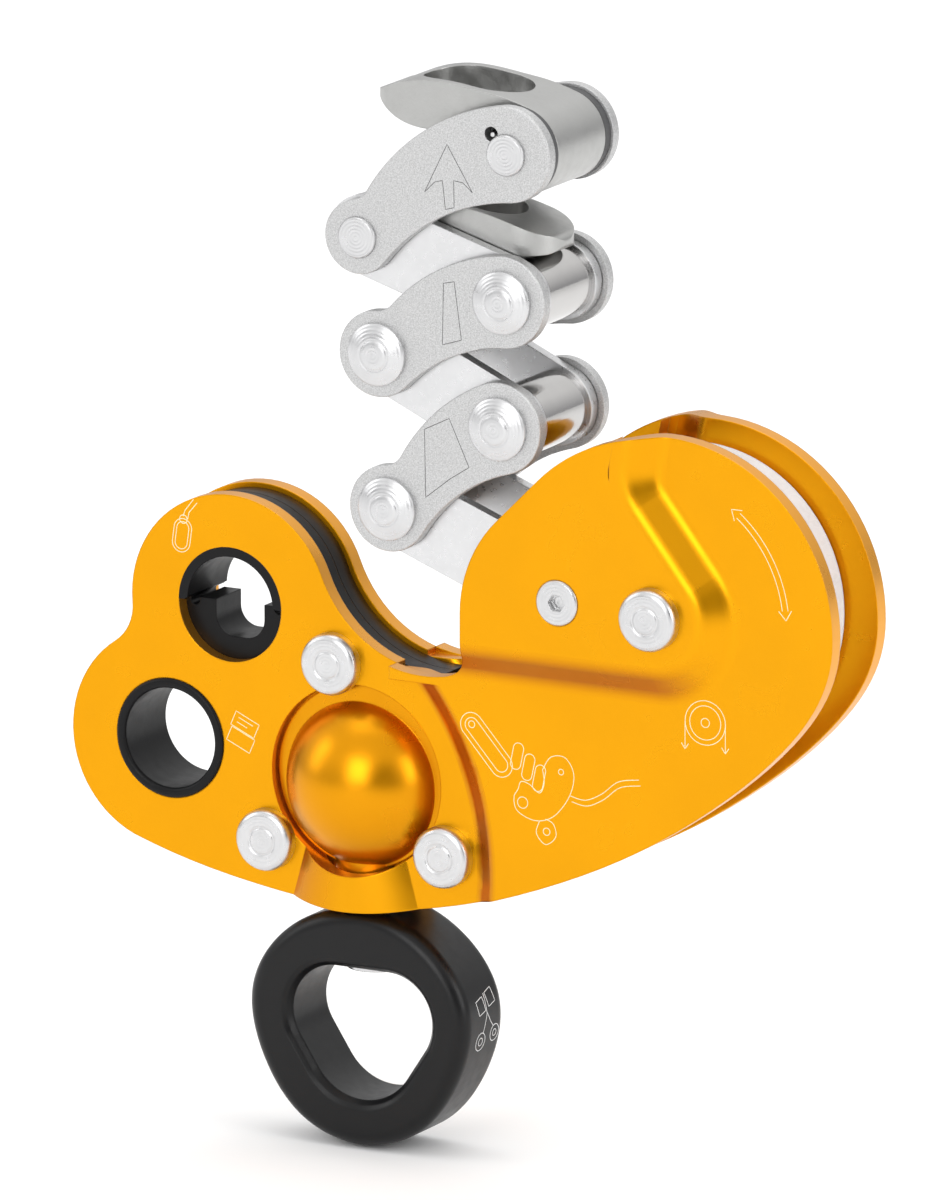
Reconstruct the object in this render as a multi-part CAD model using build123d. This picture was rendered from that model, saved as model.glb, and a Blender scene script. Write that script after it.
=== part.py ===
from build123d import *
import os
from math import atan2, cos, degrees, hypot, radians, sin, sqrt, tan

# Rope pulley: two stepped side plates hold a sheave, a ball-shaped swivel housing and two connector
# holes, and carry a folding friction chain with a release lever on top.
#
# Flat pieces are drawn in the plane of the plates: sketch X is the part's X, sketch Y is the part's
# height Z, and the extrusion runs from the mid-plane towards the front (the part's -Y).
# Turned swivel pieces are drawn upright. All sizes are millimetres, measured from the swivel centre,
# and everything is moved at the end so that the origin is the centre of the lower connector hole.

# ---- side plates -------------------------------------------------------------------------------
PLATE = 3.0                       # wall thickness of a side plate
LEFT_FACE = 7.0                   # outer face of the plates round the swivel and connector holes
RIM_FACE = 9.9                    # outer face of the raised area over the sheave
BOSS_FACE = 13.5                  # outer face of the boss that carries the axle and the anchor
STEP_RUN = 3.6                    # width of the ramp from the left face up to the rim face
BOSS_RUN = 4.6                    # width of the ramp from the rim face up to the boss face
INNER_SHIFT = 1.2                 # how far the inside of a ramp lies behind the outside
STEP_CENTRE = (-25.1, -13.9)      # the step is an arc about this point
STEP_R = 50.7
STEP_FILLET = 2.4
BOSS_CENTRE = (62.2, 36.3)
BOSS_BASE_R = 14.0
BOSS_SHOULDER = 38.3              # bearing of the boss's flank from its centre, in degrees
BOSS_ELBOW_Z = 60.2
BOSS_ELBOW_R = 5.0
BOSS_LEFT = 9.0
BOSS_FILLET = 4.0
ANCHOR_R = 3.0                    # shank of the anchor screw
ANCHOR_HEAD_R = 4.0
ANCHOR_SINK = 1.9                 # how deep the head sits in the boss

LOBE_R = 19.55
LOWER_HOLE = (-36.1, 2.9)
UPPER_HOLE = (-24.1, 28.1)
LOWER_HOLE_R = 10.7
UPPER_HOLE_R = 10.2
WAIST_R = 8.0
SADDLE_CENTRE = (16.0, 44.1)      # hollow between the upper lobe and the notch
SADDLE_R = 23.6
NOTCH_CENTRE = (18.9, 26.9)
NOTCH_R = 6.0
NECK_EDGE_X = 24.9                # upright edge on the right of the notch
NECK_EDGE_R = 24.0
HEAD_CENTRE = (62.9, 35.7)        # round head over the sheave
HEAD_R = 32.3
BELLY = [                         # the long underside, from the right of the head to the lower lobe
    (93.0, 25.6), (84.6, 14.2), (72.2, 3.6), (55.4, -7.0), (38.0, -14.8),
    (18.0, -20.9), (0.9, -23.0), (-17.0, -21.5), (-32.0, -18.6),
]

# ---- sheave ------------------------------------------------------------------------------------
AXLE = (62.2, 36.8)
SHEAVE_R = 27.2
SHEAVE_HALF = 6.4
GROOVE_DEPTH = 5.4
HUB_R = 11.6                      # bearing seat in the sheave
RACE_R = 8.2                      # outside of the bearing's inner ring
OUTER_RACE_R = 10.0               # inside of its outer ring
RACE_HALF = 4.0
AXLE_R = 4.0
BALL_TRACK_R = 9.1
BALL_R = 1.4
BALLS = 12
CAGE_GAP = 0.12

# ---- bushes, spacer and frame fasteners --------------------------------------------------------
CONNECTOR_R = 8.9                 # clear bore of the lower connector hole
SPACER_INSET = 0.9
SPACER_END = 16.5
RIVETS = [(-3.6, 20.1), (-16.6, -12.8), (18.5, -11.7)]
RIVET_R = 3.2
HEAD_RIVET_R = 5.5
HEAD_RIVET_H = 2.5

# ---- swivel ------------------------------------------------------------------------------------
BALL_HOUSING_R = 15.5
BALL_Z = -1.3                     # height of the ball's centre
PAD_R = 16.3                      # round pad of the housing inside the window
PAD_HALF = 5.2
WINDOW_R = 16.7                   # round window in each plate that the housing shows through
WEB_R = 18.9                      # flat web of the housing, clamped between the plates
WEB_HALF = 4.0
NECK_R = 7.2
NECK_LOW = -21.6
SWIVEL_X = 0.9
STEM_R = 4.4
THRUST_R = 10.6                   # cavity for the thrust bearing
THRUST_LOW = -7.0
THRUST_MID = -3.4                 # height of the ball centres
THRUST_TRACK_R = 7.4
THRUST_BALL_R = 1.8
THRUST_BALLS = 10
NUT_LOW = -0.2
THRUST_HIGH = 7.2
SWIVEL_BUSH_R = 6.0
EYE_HALF = 7.5                    # half thickness of the swivel eye
EYE_TOP = -23.6
EYE_LOW = -66.0
EYE_HOLE_TOP = -34.2
EYE_HOLE_LOW = -57.7
EYE_HOLE_X = 1.5
EYE_SHOULDER_R = 8.6
EYE_CHIN_R = 10.6
EYE_LIP = 1.6                     # flare of the opening's edge

# ---- chain -------------------------------------------------------------------------------------
ANCHOR = (43.9, 37.5)
L3 = (10.4, 50.2)
R3 = (32.0, 66.6)
L2 = (8.4, 77.2)
R2 = (32.8, 88.8)
L1 = (4.5, 97.3)
R1 = (33.5, 114.6)
INNER_LOW = 8.0                   # inner link plates lie between these two depths
INNER_HIGH = 10.2
OUTER_LOW = 10.45                 # outer link plates lie between these two depths
OUTER_HIGH = 12.65
INNER_END_R = 7.0
OUTER_LEFT_R = 7.6
OUTER_RIGHT_R = 8.1
TOP_LEFT_R = 6.5
TOP_RIGHT_R = 8.4
BUSH_R = 6.3
SPIGOT_R = 4.7
PIN_R = 3.3
TOP_PIN_R = 3.6
RUNNING = 0.06                    # radial clearance where one piece turns on another
LINK_HEAD_H = 2.0
SPRING_HOLE = (30.6, 118.0)
SPRING_HOLE_R = 1.3
SPRING_WIRE_R = 0.4
SPRING_COIL_R = 4.3
TONGUE_HALF = 7.6
TONGUE_SLOT = 12.4                # width of the rope slot in the tongue
LEVER_HALF = 8.4
LEVER_SLOT = 13.4
LEVER_HUB_R = 7.9

BIG = 200.0


# ---- helpers -----------------------------------------------------------------------------------
def slab(face, low, high):
    """A flat piece between two depths."""
    return Pos(0, 0, low) * extrude(face, high - low)


def disc(at, radius, low, high):
    """A round piece between two depths."""
    return Pos(at[0], at[1], low) * extrude(Circle(radius), high - low)


def tube(at, outer, inner, low, high):
    return disc(at, outer, low, high) - disc(at, inner, low - 1, high + 1)


def rod(radius, low, high, x=SWIVEL_X):
    """An upright turned piece between two heights."""
    return Pos(x, 0, low) * extrude(Circle(radius), high - low)


def sleeve(outer, inner, low, high):
    return rod(outer, low, high) - rod(inner, low - 1, high + 1)


def polar(centre, radius, angle):
    return (centre[0] + radius * cos(radians(angle)), centre[1] + radius * sin(radians(angle)))


def meet(a, ra, b, rb, left):
    """Where circles about a and b cross, on the left or right of the line from a to b."""
    dx = b[0] - a[0]
    dy = b[1] - a[1]
    d = hypot(dx, dy)
    along = (d * d + ra * ra - rb * rb) / (2 * d)
    across = sqrt(ra * ra - along * along) * (1 if left else -1)
    return (a[0] + (along * dx - across * dy) / d, a[1] + (along * dy + across * dx) / d)


def toward(centre, radius, target):
    """The point of a circle that faces the target."""
    return polar(centre, radius, degrees(atan2(target[1] - centre[1], target[0] - centre[0])))


def away(centre, radius, target):
    return polar(centre, radius, degrees(atan2(centre[1] - target[1], centre[0] - target[0])))


def arc_between(centre, radius, start, end, clockwise):
    """An arc about a centre from the bearing of one point to the bearing of another."""
    a0 = degrees(atan2(start[1] - centre[1], start[0] - centre[0]))
    a1 = degrees(atan2(end[1] - centre[1], end[0] - centre[0]))
    if clockwise and a1 > a0:
        a1 -= 360
    if not clockwise and a1 < a0:
        a1 += 360
    return ThreePointArc(start, polar(centre, radius, (a0 + a1) / 2), end)


def strip(p, q, rp, rq):
    """A link outline: two round ends joined by straight tangent edges."""
    bearing = degrees(atan2(q[1] - p[1], q[0] - p[0]))
    lean = degrees(atan2(sqrt((q[0] - p[0]) ** 2 + (q[1] - p[1]) ** 2 - (rp - rq) ** 2), rp - rq))
    corners = [
        polar(p, rp, bearing + lean),
        polar(q, rq, bearing + lean),
        polar(q, rq, bearing - lean),
        polar(p, rp, bearing - lean),
    ]
    web = make_face(Polyline(*corners, close=True))
    return web + Pos(*p) * Circle(rp) + Pos(*q) * Circle(rq)


def both_sides(shape):
    """The piece and its mirror image on the other side of the mid-plane."""
    return shape + mirror(shape, about=Plane.XY)


# ---- side plates -------------------------------------------------------------------------------
def plate_outline(inset=0.0):
    """The outline shared by both plates, clockwise from the left waist, drawn in by an inset."""
    lobe = LOBE_R - inset
    hollow = WAIST_R + inset
    saddle = SADDLE_R + inset
    notch = NOTCH_R + inset
    neck = NECK_EDGE_R - inset
    head = HEAD_R - inset
    waist = meet(LOWER_HOLE, LOBE_R + WAIST_R, UPPER_HOLE, LOBE_R + WAIST_R, True)
    waist_low = toward(LOWER_HOLE, lobe, waist)
    waist_high = toward(UPPER_HOLE, lobe, waist)
    lobe_end = toward(UPPER_HOLE, lobe, SADDLE_CENTRE)
    saddle_end = away(NOTCH_CENTRE, notch, SADDLE_CENTRE)
    notch_end = (NOTCH_CENTRE[0] + notch, NOTCH_CENTRE[1])
    corner = polar(HEAD_CENTRE, HEAD_R, 135)
    neck_centre = (NECK_EDGE_X + NECK_EDGE_R,
                   corner[1] - corner[0] + NECK_EDGE_X + NECK_EDGE_R * (1 - sqrt(2)))
    neck_start = polar(neck_centre, neck, 180)
    neck_end = polar(neck_centre, neck, 135)
    head_start = polar(HEAD_CENTRE, head, 135)
    head_end = polar(HEAD_CENTRE, head, 0)
    lobe_start = polar(LOWER_HOLE, lobe, 248)
    belly = [(x, z + inset) for x, z in BELLY]
    with BuildLine() as line:
        arc_between(LOWER_HOLE, lobe, lobe_start, waist_low, True)
        arc_between(waist, hollow, waist_low, waist_high, False)
        arc_between(UPPER_HOLE, lobe, waist_high, lobe_end, True)
        arc_between(SADDLE_CENTRE, saddle, lobe_end, saddle_end, False)
        arc_between(NOTCH_CENTRE, notch, saddle_end, notch_end, False)
        Line(notch_end, neck_start)
        arc_between(neck_centre, neck, neck_start, neck_end, True)
        Line(neck_end, head_start)
        arc_between(HEAD_CENTRE, head, head_start, head_end, True)
        Spline(head_end, *belly, lobe_start)
    return make_face(line.line)


def ramp_profile(plane, run, rise, radius, reach, depth):
    """A section through a ramp: flat, rounded slope, flat, closed at the given depth below."""
    with BuildLine(plane) as line:
        FilletPolyline((-3.0, 0), (0, 0), (run, rise), (reach, rise), radius=radius)
        Polyline((reach, rise), (reach, -depth), (-3.0, -depth), (-3.0, 0))
    return make_face(line.line)


def rim_rise(lower, shift):
    """The raised area right of the curved step: a ring about the centre of the step's arc."""
    first = -30
    last = 52
    across = (cos(radians(first)), sin(radians(first)), 0)
    start = polar(STEP_CENTRE, STEP_R + shift, first)
    plane = Plane(origin=(start[0], start[1], LEFT_FACE - lower), x_dir=across,
                  z_dir=(across[1], -across[0], 0))
    section = ramp_profile(plane, STEP_RUN, RIM_FACE - LEFT_FACE, STEP_FILLET, 120.0, 15.0)
    axis = Axis((STEP_CENTRE[0], STEP_CENTRE[1], 0), (0, 0, 1))
    return revolve(section, axis=axis, revolution_arc=last - first)


def boss_corners(shift):
    """The corner points of the boss before rounding, drawn in by the shift."""
    radius = BOSS_BASE_R - shift
    low = BOSS_CENTRE[1] - radius
    corner = (BOSS_CENTRE[0] + radius / tan(radians(45 - BOSS_SHOULDER / 2)), low)
    flank = radians(90 + BOSS_SHOULDER)
    length = (BOSS_ELBOW_Z - low) / sin(flank)
    elbow = (corner[0] + length * cos(flank), BOSS_ELBOW_Z)
    return [(BOSS_LEFT, low), corner, elbow, (elbow[0] + 10.0, elbow[1] + 50.0)]


def boss_rise(lower, shift):
    """The boss: a rounded ramp swept along its edge, and the flat land inside it."""
    level = RIM_FACE - lower
    height = BOSS_FACE - RIM_FACE
    edge = boss_corners(shift)
    path = FilletPolyline(*edge, radius=[BOSS_BASE_R - shift, BOSS_ELBOW_R])
    plane = Plane(origin=(edge[0][0], edge[0][1], level), x_dir=(0, 1, 0), z_dir=(1, 0, 0))
    section = ramp_profile(plane, BOSS_RUN, height, BOSS_FILLET, BOSS_RUN + 3.0, 3.0)
    ramp = sweep(section, path=Pos(0, 0, level) * path)
    land = boss_corners(shift + BOSS_RUN + 1.5)
    with BuildLine() as line:
        FilletPolyline(*land, radius=[BOSS_BASE_R - shift - BOSS_RUN - 1.5, BOSS_ELBOW_R])
        Polyline(land[-1], (BOSS_LEFT, land[-1][1]), land[0])
    flat = slab(make_face(line.line), level - 3.0, level + height)
    return ramp + flat


def neck_bulge(lower):
    """A shallow tapered vault under the window, which clears the housing's neck."""
    sections = []
    for height, half_width, rise in ((-12.0, 9.6, 3.7), (-30.0, 14.6, 4.4)):
        crown = LEFT_FACE + rise - lower
        half = half_width - 0.9 * lower
        plane = Plane(origin=(SWIVEL_X, height, 0), x_dir=(1, 0, 0), z_dir=(0, -1, 0))
        side = LEFT_FACE - lower
        with BuildLine(plane) as line:
            ThreePointArc((-half, side), (0, crown), (half, side))
            Polyline((half, side), (half, -2.0), (-half, -2.0), (-half, side))
        sections.append(make_face(line.line))
    return loft(sections, ruled=True)


def stepped_volume(lower):
    """Everything up to the stepped outer face of a plate, lowered by the given amount."""
    shift = INNER_SHIFT if lower else 0.0
    base = Pos(25, 20, -20) * extrude(Rectangle(180, 150), LEFT_FACE - lower + 20)
    return base + rim_rise(lower, shift) + boss_rise(lower, shift)


def side_plate():
    """The front plate: stepped wall, round window, holes and rivet seats."""
    outline = plate_outline()
    outer = stepped_volume(0.0) + neck_bulge(0.0)
    inner = stepped_volume(PLATE) + neck_bulge(PLATE)
    plate = (outer - inner) & slab(outline, 0, 40)
    plate -= disc((SWIVEL_X, 0), WINDOW_R, 0, 40)
    plate -= disc(LOWER_HOLE, LOWER_HOLE_R, 0, 40)
    plate -= disc(UPPER_HOLE, UPPER_HOLE_R, 0, 40)
    for at in RIVETS:
        plate -= disc(at, RIVET_R, 0, 40)
    plate -= disc(AXLE, AXLE_R, 0, 40)
    plate -= disc(ANCHOR, ANCHOR_R, 0, 40)
    plate -= disc(ANCHOR, ANCHOR_HEAD_R + 0.05, BOSS_FACE - ANCHOR_SINK, 40)
    return plate


# ---- spacer, bushes and frame fasteners --------------------------------------------------------
def web_solid(gap):
    """The housing's flat web: a disc with a lug for each frame rivet, grown by a gap."""
    web = disc((SWIVEL_X, 0), WEB_R + gap, -WEB_HALF, WEB_HALF)
    for at in RIVETS:
        lug = strip((SWIVEL_X, 0), at, 12.0 + gap, 5.4 + gap)
        web += slab(lug, -WEB_HALF, WEB_HALF)
    return web


def inset_block(half):
    """The plates' outline drawn in a little, as a solid about the mid-plane."""
    return slab(plate_outline(SPACER_INSET), -half, half)


def spacer_half():
    """Black plastic filler between the plates, round the connector holes."""
    block = inset_block(WEB_HALF) & (Pos(SPACER_END - 60, 10, 2.0) * Box(120, 120, 2 * WEB_HALF - 4.1))
    block -= web_solid(0.15)
    block -= Pos(SWIVEL_X, -20, 0) * Box(60, 40, 20)
    for at, radius in ((LOWER_HOLE, LOWER_HOLE_R), (UPPER_HOLE, UPPER_HOLE_R)):
        block -= disc(at, radius + 0.1, -10, 10)
    return max(block.solids(), key=lambda solid: solid.volume)


def connector_bush():
    """Plain sleeve with rounded lips through both plates."""
    half = LEFT_FACE + 0.5
    bush = tube(LOWER_HOLE, LOWER_HOLE_R, CONNECTOR_R, -half, half)
    rims = bush.edges().filter_by(GeomType.CIRCLE)
    rims = rims.filter_by(lambda edge: abs(abs(edge.center().Z) - half) < 0.01)
    return bush.fillet(0.7, rims)


def slot_insert():
    """Insert of the upper hole: a thin upper half and a thick, set-back lower half."""
    half = LEFT_FACE
    ring = tube(UPPER_HOLE, UPPER_HOLE_R, UPPER_HOLE_R - 1.7, -half, half)
    low_half = Pos(UPPER_HOLE[0], UPPER_HOLE[1] - 15) * Rectangle(60, 30)
    block = Pos(*UPPER_HOLE) * Circle(UPPER_HOLE_R) & low_half
    block -= Pos(UPPER_HOLE[0] + 0.6, UPPER_HOLE[1] - 0.8) * RectangleRounded(9.6, 11.0, 3.6)
    lips = slab(block, -half + 2.6, half - 2.6)
    cut = slab(low_half, half - 2.6, half + 1)
    ring = ring - cut - mirror(cut, about=Plane.XY)
    insert = ring + lips
    for side in (-1, 1):
        corner = (UPPER_HOLE[0] + side * (UPPER_HOLE_R - 1.9), UPPER_HOLE[1] - 0.5)
        insert -= disc(corner, 0.9, -half - 1, half + 1)
    return insert


def two_headed(at, shank, face, head):
    """A rivet with the same head on both outer faces."""
    cap = Pos(at[0], at[1], face) * head
    return disc(at, shank, -face, face) + cap + mirror(cap, about=Plane.XY)


def thick_head(radius, height):
    """Thick flat head with a rounded rim and a shallow turned ring."""
    head = disc((0, 0), radius, 0, height)
    rim = head.edges().filter_by(GeomType.CIRCLE).sort_by(Axis.Z)[-1]
    head = head.fillet(height * 0.5, [rim])
    return head - Pos(0, 0, height + 0.25) * Torus(radius * 0.45, 0.4)


def button_head(radius, height):
    """Low domed head: a thin rim, a spherical crown and a flat middle."""
    rim = 0.7
    crown = height - rim
    ball = (radius * radius + crown * crown) / (2 * crown)
    dome = Pos(0, 0, height - ball) * Sphere(ball)
    head = dome & disc((0, 0), radius, 0, height - 0.12)
    return head - Pos(0, 0, height - 0.08) * Torus(radius * 0.5, 0.35)


def anchor_screw():
    """Shoulder screw that holds one inner link plate in the boss."""
    head = disc(ANCHOR, ANCHOR_HEAD_R, BOSS_FACE - ANCHOR_SINK, BOSS_FACE + 0.4)
    head = head.chamfer(0.3, None, [head.edges().sort_by(Axis.Z)[-1]])
    shank = disc(ANCHOR, ANCHOR_R, INNER_LOW - 0.2, BOSS_FACE - ANCHOR_SINK)
    socket = Pos(ANCHOR[0], ANCHOR[1], BOSS_FACE - 0.9) * extrude(RegularPolygon(1.6, 6), 3)
    return head + shank - socket


# ---- sheave and its bearing --------------------------------------------------------------------
def sheave():
    """Grooved wheel with a thin web and a seat for the bearing."""
    lip = SHEAVE_HALF - 0.7
    seat = RACE_HALF + 0.6
    ring_in = SHEAVE_R - 6.5
    with BuildLine(Plane.XZ) as line:
        ThreePointArc((SHEAVE_R, -lip), (SHEAVE_R - GROOVE_DEPTH, 0), (SHEAVE_R, lip))
        Polyline((SHEAVE_R, lip), (SHEAVE_R - 0.7, SHEAVE_HALF), (ring_in, SHEAVE_HALF),
                 (ring_in - 2.5, seat), (HUB_R, seat), (HUB_R, -seat), (ring_in - 2.5, -seat),
                 (ring_in, -SHEAVE_HALF), (SHEAVE_R - 0.7, -SHEAVE_HALF), (SHEAVE_R, -lip))
    return Pos(AXLE[0], AXLE[1], 0) * revolve(make_face(line.line), axis=Axis.Z)


def bearing_ring(outer, inner, groove):
    """One ring of the sheave's ball bearing, with the ball groove cut in it."""
    ring = tube((0, 0), outer, inner, -RACE_HALF, RACE_HALF)
    return Pos(AXLE[0], AXLE[1], 0) * (ring - Torus(BALL_TRACK_R, groove))


def ball_ring(count, track, ball):
    """A full ring of bearing balls about the drawing's own axis."""
    places = [polar((0, 0), track, 360.0 * index / count) for index in range(count)]
    return [Pos(x, y, 0) * Sphere(ball) for x, y in places]


def cage(count, track, ball, width, half, tilt):
    """A flat ring with a round pocket for each ball, bored along the axis or across it."""
    ring = tube((0, 0), track + width, track - width, -half, half)
    bore = Rot(0, tilt, 0) * Cylinder(ball + CAGE_GAP, 4 * max(width, half))
    for index in range(count):
        ring -= Rot(0, 0, 360.0 * index / count) * Pos(track, 0, 0) * bore
    return ring


# ---- swivel ------------------------------------------------------------------------------------
def swivel_housing():
    """Front half of the ball-sided casing: half ball, half web and half of the stepped bore."""
    ball = Pos(SWIVEL_X, 0, BALL_Z) * Sphere(BALL_HOUSING_R)
    ball += Rot(90, 0, 0) * disc((SWIVEL_X, 0), PAD_R, -PAD_HALF, PAD_HALF)
    web = Rot(90, 0, 0) * (web_solid(0) & inset_block(WEB_HALF))
    body = ball + web + rod(NECK_R, NECK_LOW, 0)
    body -= rod(THRUST_R, THRUST_LOW, THRUST_HIGH)
    body -= rod(SWIVEL_BUSH_R, -30, 0)
    for at in RIVETS:
        body -= Rot(90, 0, 0) * disc(at, RIVET_R, -20, 20)
    return body & (Pos(0, -50, 0) * Box(300, 100, 300))


def swivel_eye():
    """Thick rounded ring with a flat-topped opening and a drilled seat for the stem."""
    half_outline = [(12.6, -27.4), (21.4, -39.4), (19.2, -52.4), (11.4, -62.4)]
    right = [(SWIVEL_X + x, z) for x, z in half_outline]
    left = [(SWIVEL_X - x, z) for x, z in reversed(half_outline)]
    with BuildLine() as line:
        Spline((SWIVEL_X, EYE_TOP), *right, (SWIVEL_X, EYE_LOW), *left, periodic=True)
    eye = slab(make_face(line.line), -EYE_HALF, EYE_HALF)
    eye = eye.fillet(2.6, face_edges(eye, EYE_HALF))
    eye -= eye_opening()
    return eye - Rot(-90, 0, 0) * rod(STEM_R, EYE_HOLE_TOP - 5, 0)


def eye_opening():
    """The opening of the eye: two shoulder circles and a lower one, hulled, with a flared lip."""
    shoulder = [Pos(EYE_HOLE_X + x, EYE_HOLE_TOP - EYE_SHOULDER_R) for x in (-5.2, 5.2)]
    chin = Pos(EYE_HOLE_X, EYE_HOLE_LOW + EYE_CHIN_R)
    sections = []
    for depth, grow in ((EYE_HALF, EYE_LIP), (EYE_HALF - 0.5, 0.8), (EYE_HALF - EYE_LIP, 0)):
        rings = [at * Circle(EYE_SHOULDER_R + grow) for at in shoulder]
        rings.append(chin * Circle(EYE_CHIN_R + grow))
        outline = make_hull([ring.edge() for ring in rings])
        sections.append(Pos(0, 0, depth) * outline)
    lip = loft(sections[1:], ruled=True) + loft(sections[:2], ruled=True)
    return both_sides(lip) + slab(Pos(0, 0, EYE_LIP - EYE_HALF) * sections[-1], -EYE_HALF, EYE_HALF)


def face_edges(solid, depth):
    """The edges that lie on the front and rear faces at the given depth."""
    return solid.edges().filter_by(lambda edge: abs(abs(edge.center().Z) - depth) < 0.01)


def swivel_stem():
    """Turned stem: a riveted foot in the eye, a collar above it and a threaded top."""
    stem = rod(STEM_R, EYE_HOLE_TOP, 4.6)
    collar = rod(6.6, EYE_TOP + 0.2, NECK_LOW - 0.9)
    foot = rod(5.0, EYE_HOLE_TOP - 0.8, EYE_HOLE_TOP)
    return stem + collar + foot


def thrust_race(low, high, bore):
    """A washer of the thrust bearing, with the ball groove cut in it."""
    groove = Pos(SWIVEL_X, 0, THRUST_MID) * Torus(THRUST_TRACK_R, THRUST_BALL_R + 0.04)
    return sleeve(THRUST_R - (0 if bore > STEM_R else 0.6), bore, low, high) - groove


def stem_nut():
    nut = Pos(SWIVEL_X, 0, NUT_LOW) * extrude(RegularPolygon(8.2, 6), 4.2)
    return nut - rod(STEM_R, -10, 10)


# ---- chain -------------------------------------------------------------------------------------
def arched_outline(p, q, rp, rq, start, upper_r, lower_r):
    """Outer link outline: an arched back, a hollow belly and two round ends."""
    back = polar(p, rp, start)
    upper = meet(back, upper_r, q, upper_r - rq, False)
    back_end = away(q, rq, upper)
    lower = meet(p, lower_r + rp, q, lower_r + rq, False)
    belly_start = toward(q, rq, lower)
    belly_end = toward(p, rp, lower)
    with BuildLine() as line:
        arc_between(upper, upper_r, back, back_end, True)
        arc_between(q, rq, back_end, belly_start, True)
        arc_between(lower, lower_r, belly_start, belly_end, False)
        arc_between(p, rp, belly_end, back, True)
    face = make_face(line.line)
    return fillet(face.vertices().sort_by_distance(Vector(back[0], back[1], 0))[0], 4.0)


def outer_plate(outline, holes):
    plate = slab(outline, OUTER_LOW, OUTER_HIGH)
    for at, radius in holes:
        plate -= disc(at, radius, 0, 30)
    rims = plate.edges().filter_by(lambda e: abs(e.center().Z - OUTER_HIGH) < 0.01)
    rims = rims.filter_by(lambda e: e.length > 24 or e.geom_type != GeomType.CIRCLE)
    return plate.fillet(0.35, rims)


def inner_plate(p, q, holes):
    plate = slab(strip(p, q, INNER_END_R, INNER_END_R), INNER_LOW, INNER_HIGH)
    for at, radius in holes:
        plate -= disc(at, radius, 0, 30)
    return plate


def link_bush(at, barrel, pin):
    """Bush between two inner plates, its ends pressed into them."""
    bush = disc(at, barrel, -INNER_LOW, INNER_LOW) + disc(at, SPIGOT_R, -INNER_HIGH, INNER_HIGH)
    return bush - disc(at, pin + RUNNING, -30, 30)


def flat_pin(at):
    """Pin of the top link with bevelled flat ends that stand a little proud."""
    half = OUTER_HIGH + 0.7
    pin = disc(at, TOP_PIN_R, -half, half)
    return pin.chamfer(0.25, None, face_edges(pin, half))


def rope_slot(centre, length, width, tilt):
    """A through slot for the rope, cut down through a cast piece."""
    slot = extrude(SlotOverall(length, width), 60, both=True)
    return Pos(centre[0], centre[1], 0) * Rot(0, 0, tilt) * Rot(90, 0, 0) * slot


def cam_tongue():
    """Cast tongue on the top left pin, resting over the upper right bush."""
    with BuildLine() as line:
        Line((4.5, 104.2), (9.0, 103.9))
        Spline((9.0, 103.9), (18.0, 103.9), (28.0, 102.5), (37.2, 99.4), tangents=[(1, 0), (1, -0.45)])
        ThreePointArc((37.2, 99.4), (38.6, 97.6), (37.0, 96.1))
        Line((37.0, 96.1), (31.0, 95.9))
        Spline((31.0, 95.9), (20.0, 95.2), (9.5, 92.6), tangents=[(-1, 0), (-1, -0.5)])
        ThreePointArc((9.5, 92.6), (-2.2, 98.6), (4.5, 104.2))
    side = slab(make_face(line.line), -TONGUE_HALF, TONGUE_HALF)
    nose = extrude(Pos(10.6, 0) * RectangleRounded(56.0, 2 * TONGUE_HALF, 7.0), 80, both=True)
    tongue = side & (Pos(0, 98, 0) * Rot(90, 0, 0) * nose)
    tongue -= rope_slot((20.5, 99.0), 19.0, TONGUE_SLOT, -4)
    return tongue - disc(L1, SPIGOT_R + RUNNING, -30, 30)


def release_lever():
    """Cast lever: a hub on the top right pin and a broad arm with the rope slot."""
    with BuildLine() as line:
        Spline((5.6, 122.4), (11.0, 124.5), (18.0, 125.2), (26.0, 124.3),
               polar(R1, LEVER_HUB_R, 72), tangents=[(0.9, 0.5), (1, -0.325)])
        ThreePointArc(polar(R1, LEVER_HUB_R, 72), polar(R1, LEVER_HUB_R, 0),
                      polar(R1, LEVER_HUB_R, -90))
        ThreePointArc(polar(R1, LEVER_HUB_R, -90), polar(R1, LEVER_HUB_R, -140),
                      polar(R1, LEVER_HUB_R, 170))
        Spline(polar(R1, LEVER_HUB_R, 170), (20.0, 116.6), (12.0, 117.2), (5.0, 120.6),
               tangents=[(-1, 0.2), (-0.9, 0.5)])
        ThreePointArc((5.0, 120.6), (4.5, 121.8), (5.6, 122.4))
    side = slab(make_face(line.line), -LEVER_HALF, LEVER_HALF)
    plan = extrude(Pos(30.0, 0) * RectangleRounded(53.0, 2 * LEVER_HALF, 7.5), 80, both=True)
    lever = side & (Pos(0, 110, 0) * Rot(90, 0, 0) * plan)
    lever -= rope_slot((21.4, 121.0), 20.0, LEVER_SLOT, 0)
    lever -= disc(R1, 5.9, LEVER_HALF - 2.8, 30)
    return lever - disc(R1, TOP_PIN_R + RUNNING, -30, 30)


def lever_spring():
    """Torsion spring in the lever's hub, with one leg hooked in the front plate's hole."""
    low = LEVER_HALF - 2.1
    coil = Helix(pitch=1.0, height=2.0, radius=SPRING_COIL_R)
    start = coil @ 0
    section = Plane(origin=start, z_dir=coil % 0) * Circle(SPRING_WIRE_R)
    turns = sweep(section, path=coil, is_frenet=True)
    leg = disc((SPRING_COIL_R, 0), SPRING_WIRE_R, 2.0, OUTER_HIGH - 0.3 - low)
    bearing = degrees(atan2(SPRING_HOLE[1] - R1[1], SPRING_HOLE[0] - R1[0]))
    return Pos(R1[0], R1[1], low) * Rot(0, 0, bearing) * (turns + leg)


PARTS = {}


def keep(name, shape, upright=False):
    """Move a finished piece to the part's own frame and store it under its node name."""
    if not upright:
        shape = Rot(90, 0, 0) * shape
    PARTS[name] = Pos(-LOWER_HOLE[0], 0, -LOWER_HOLE[1]) * shape


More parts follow.
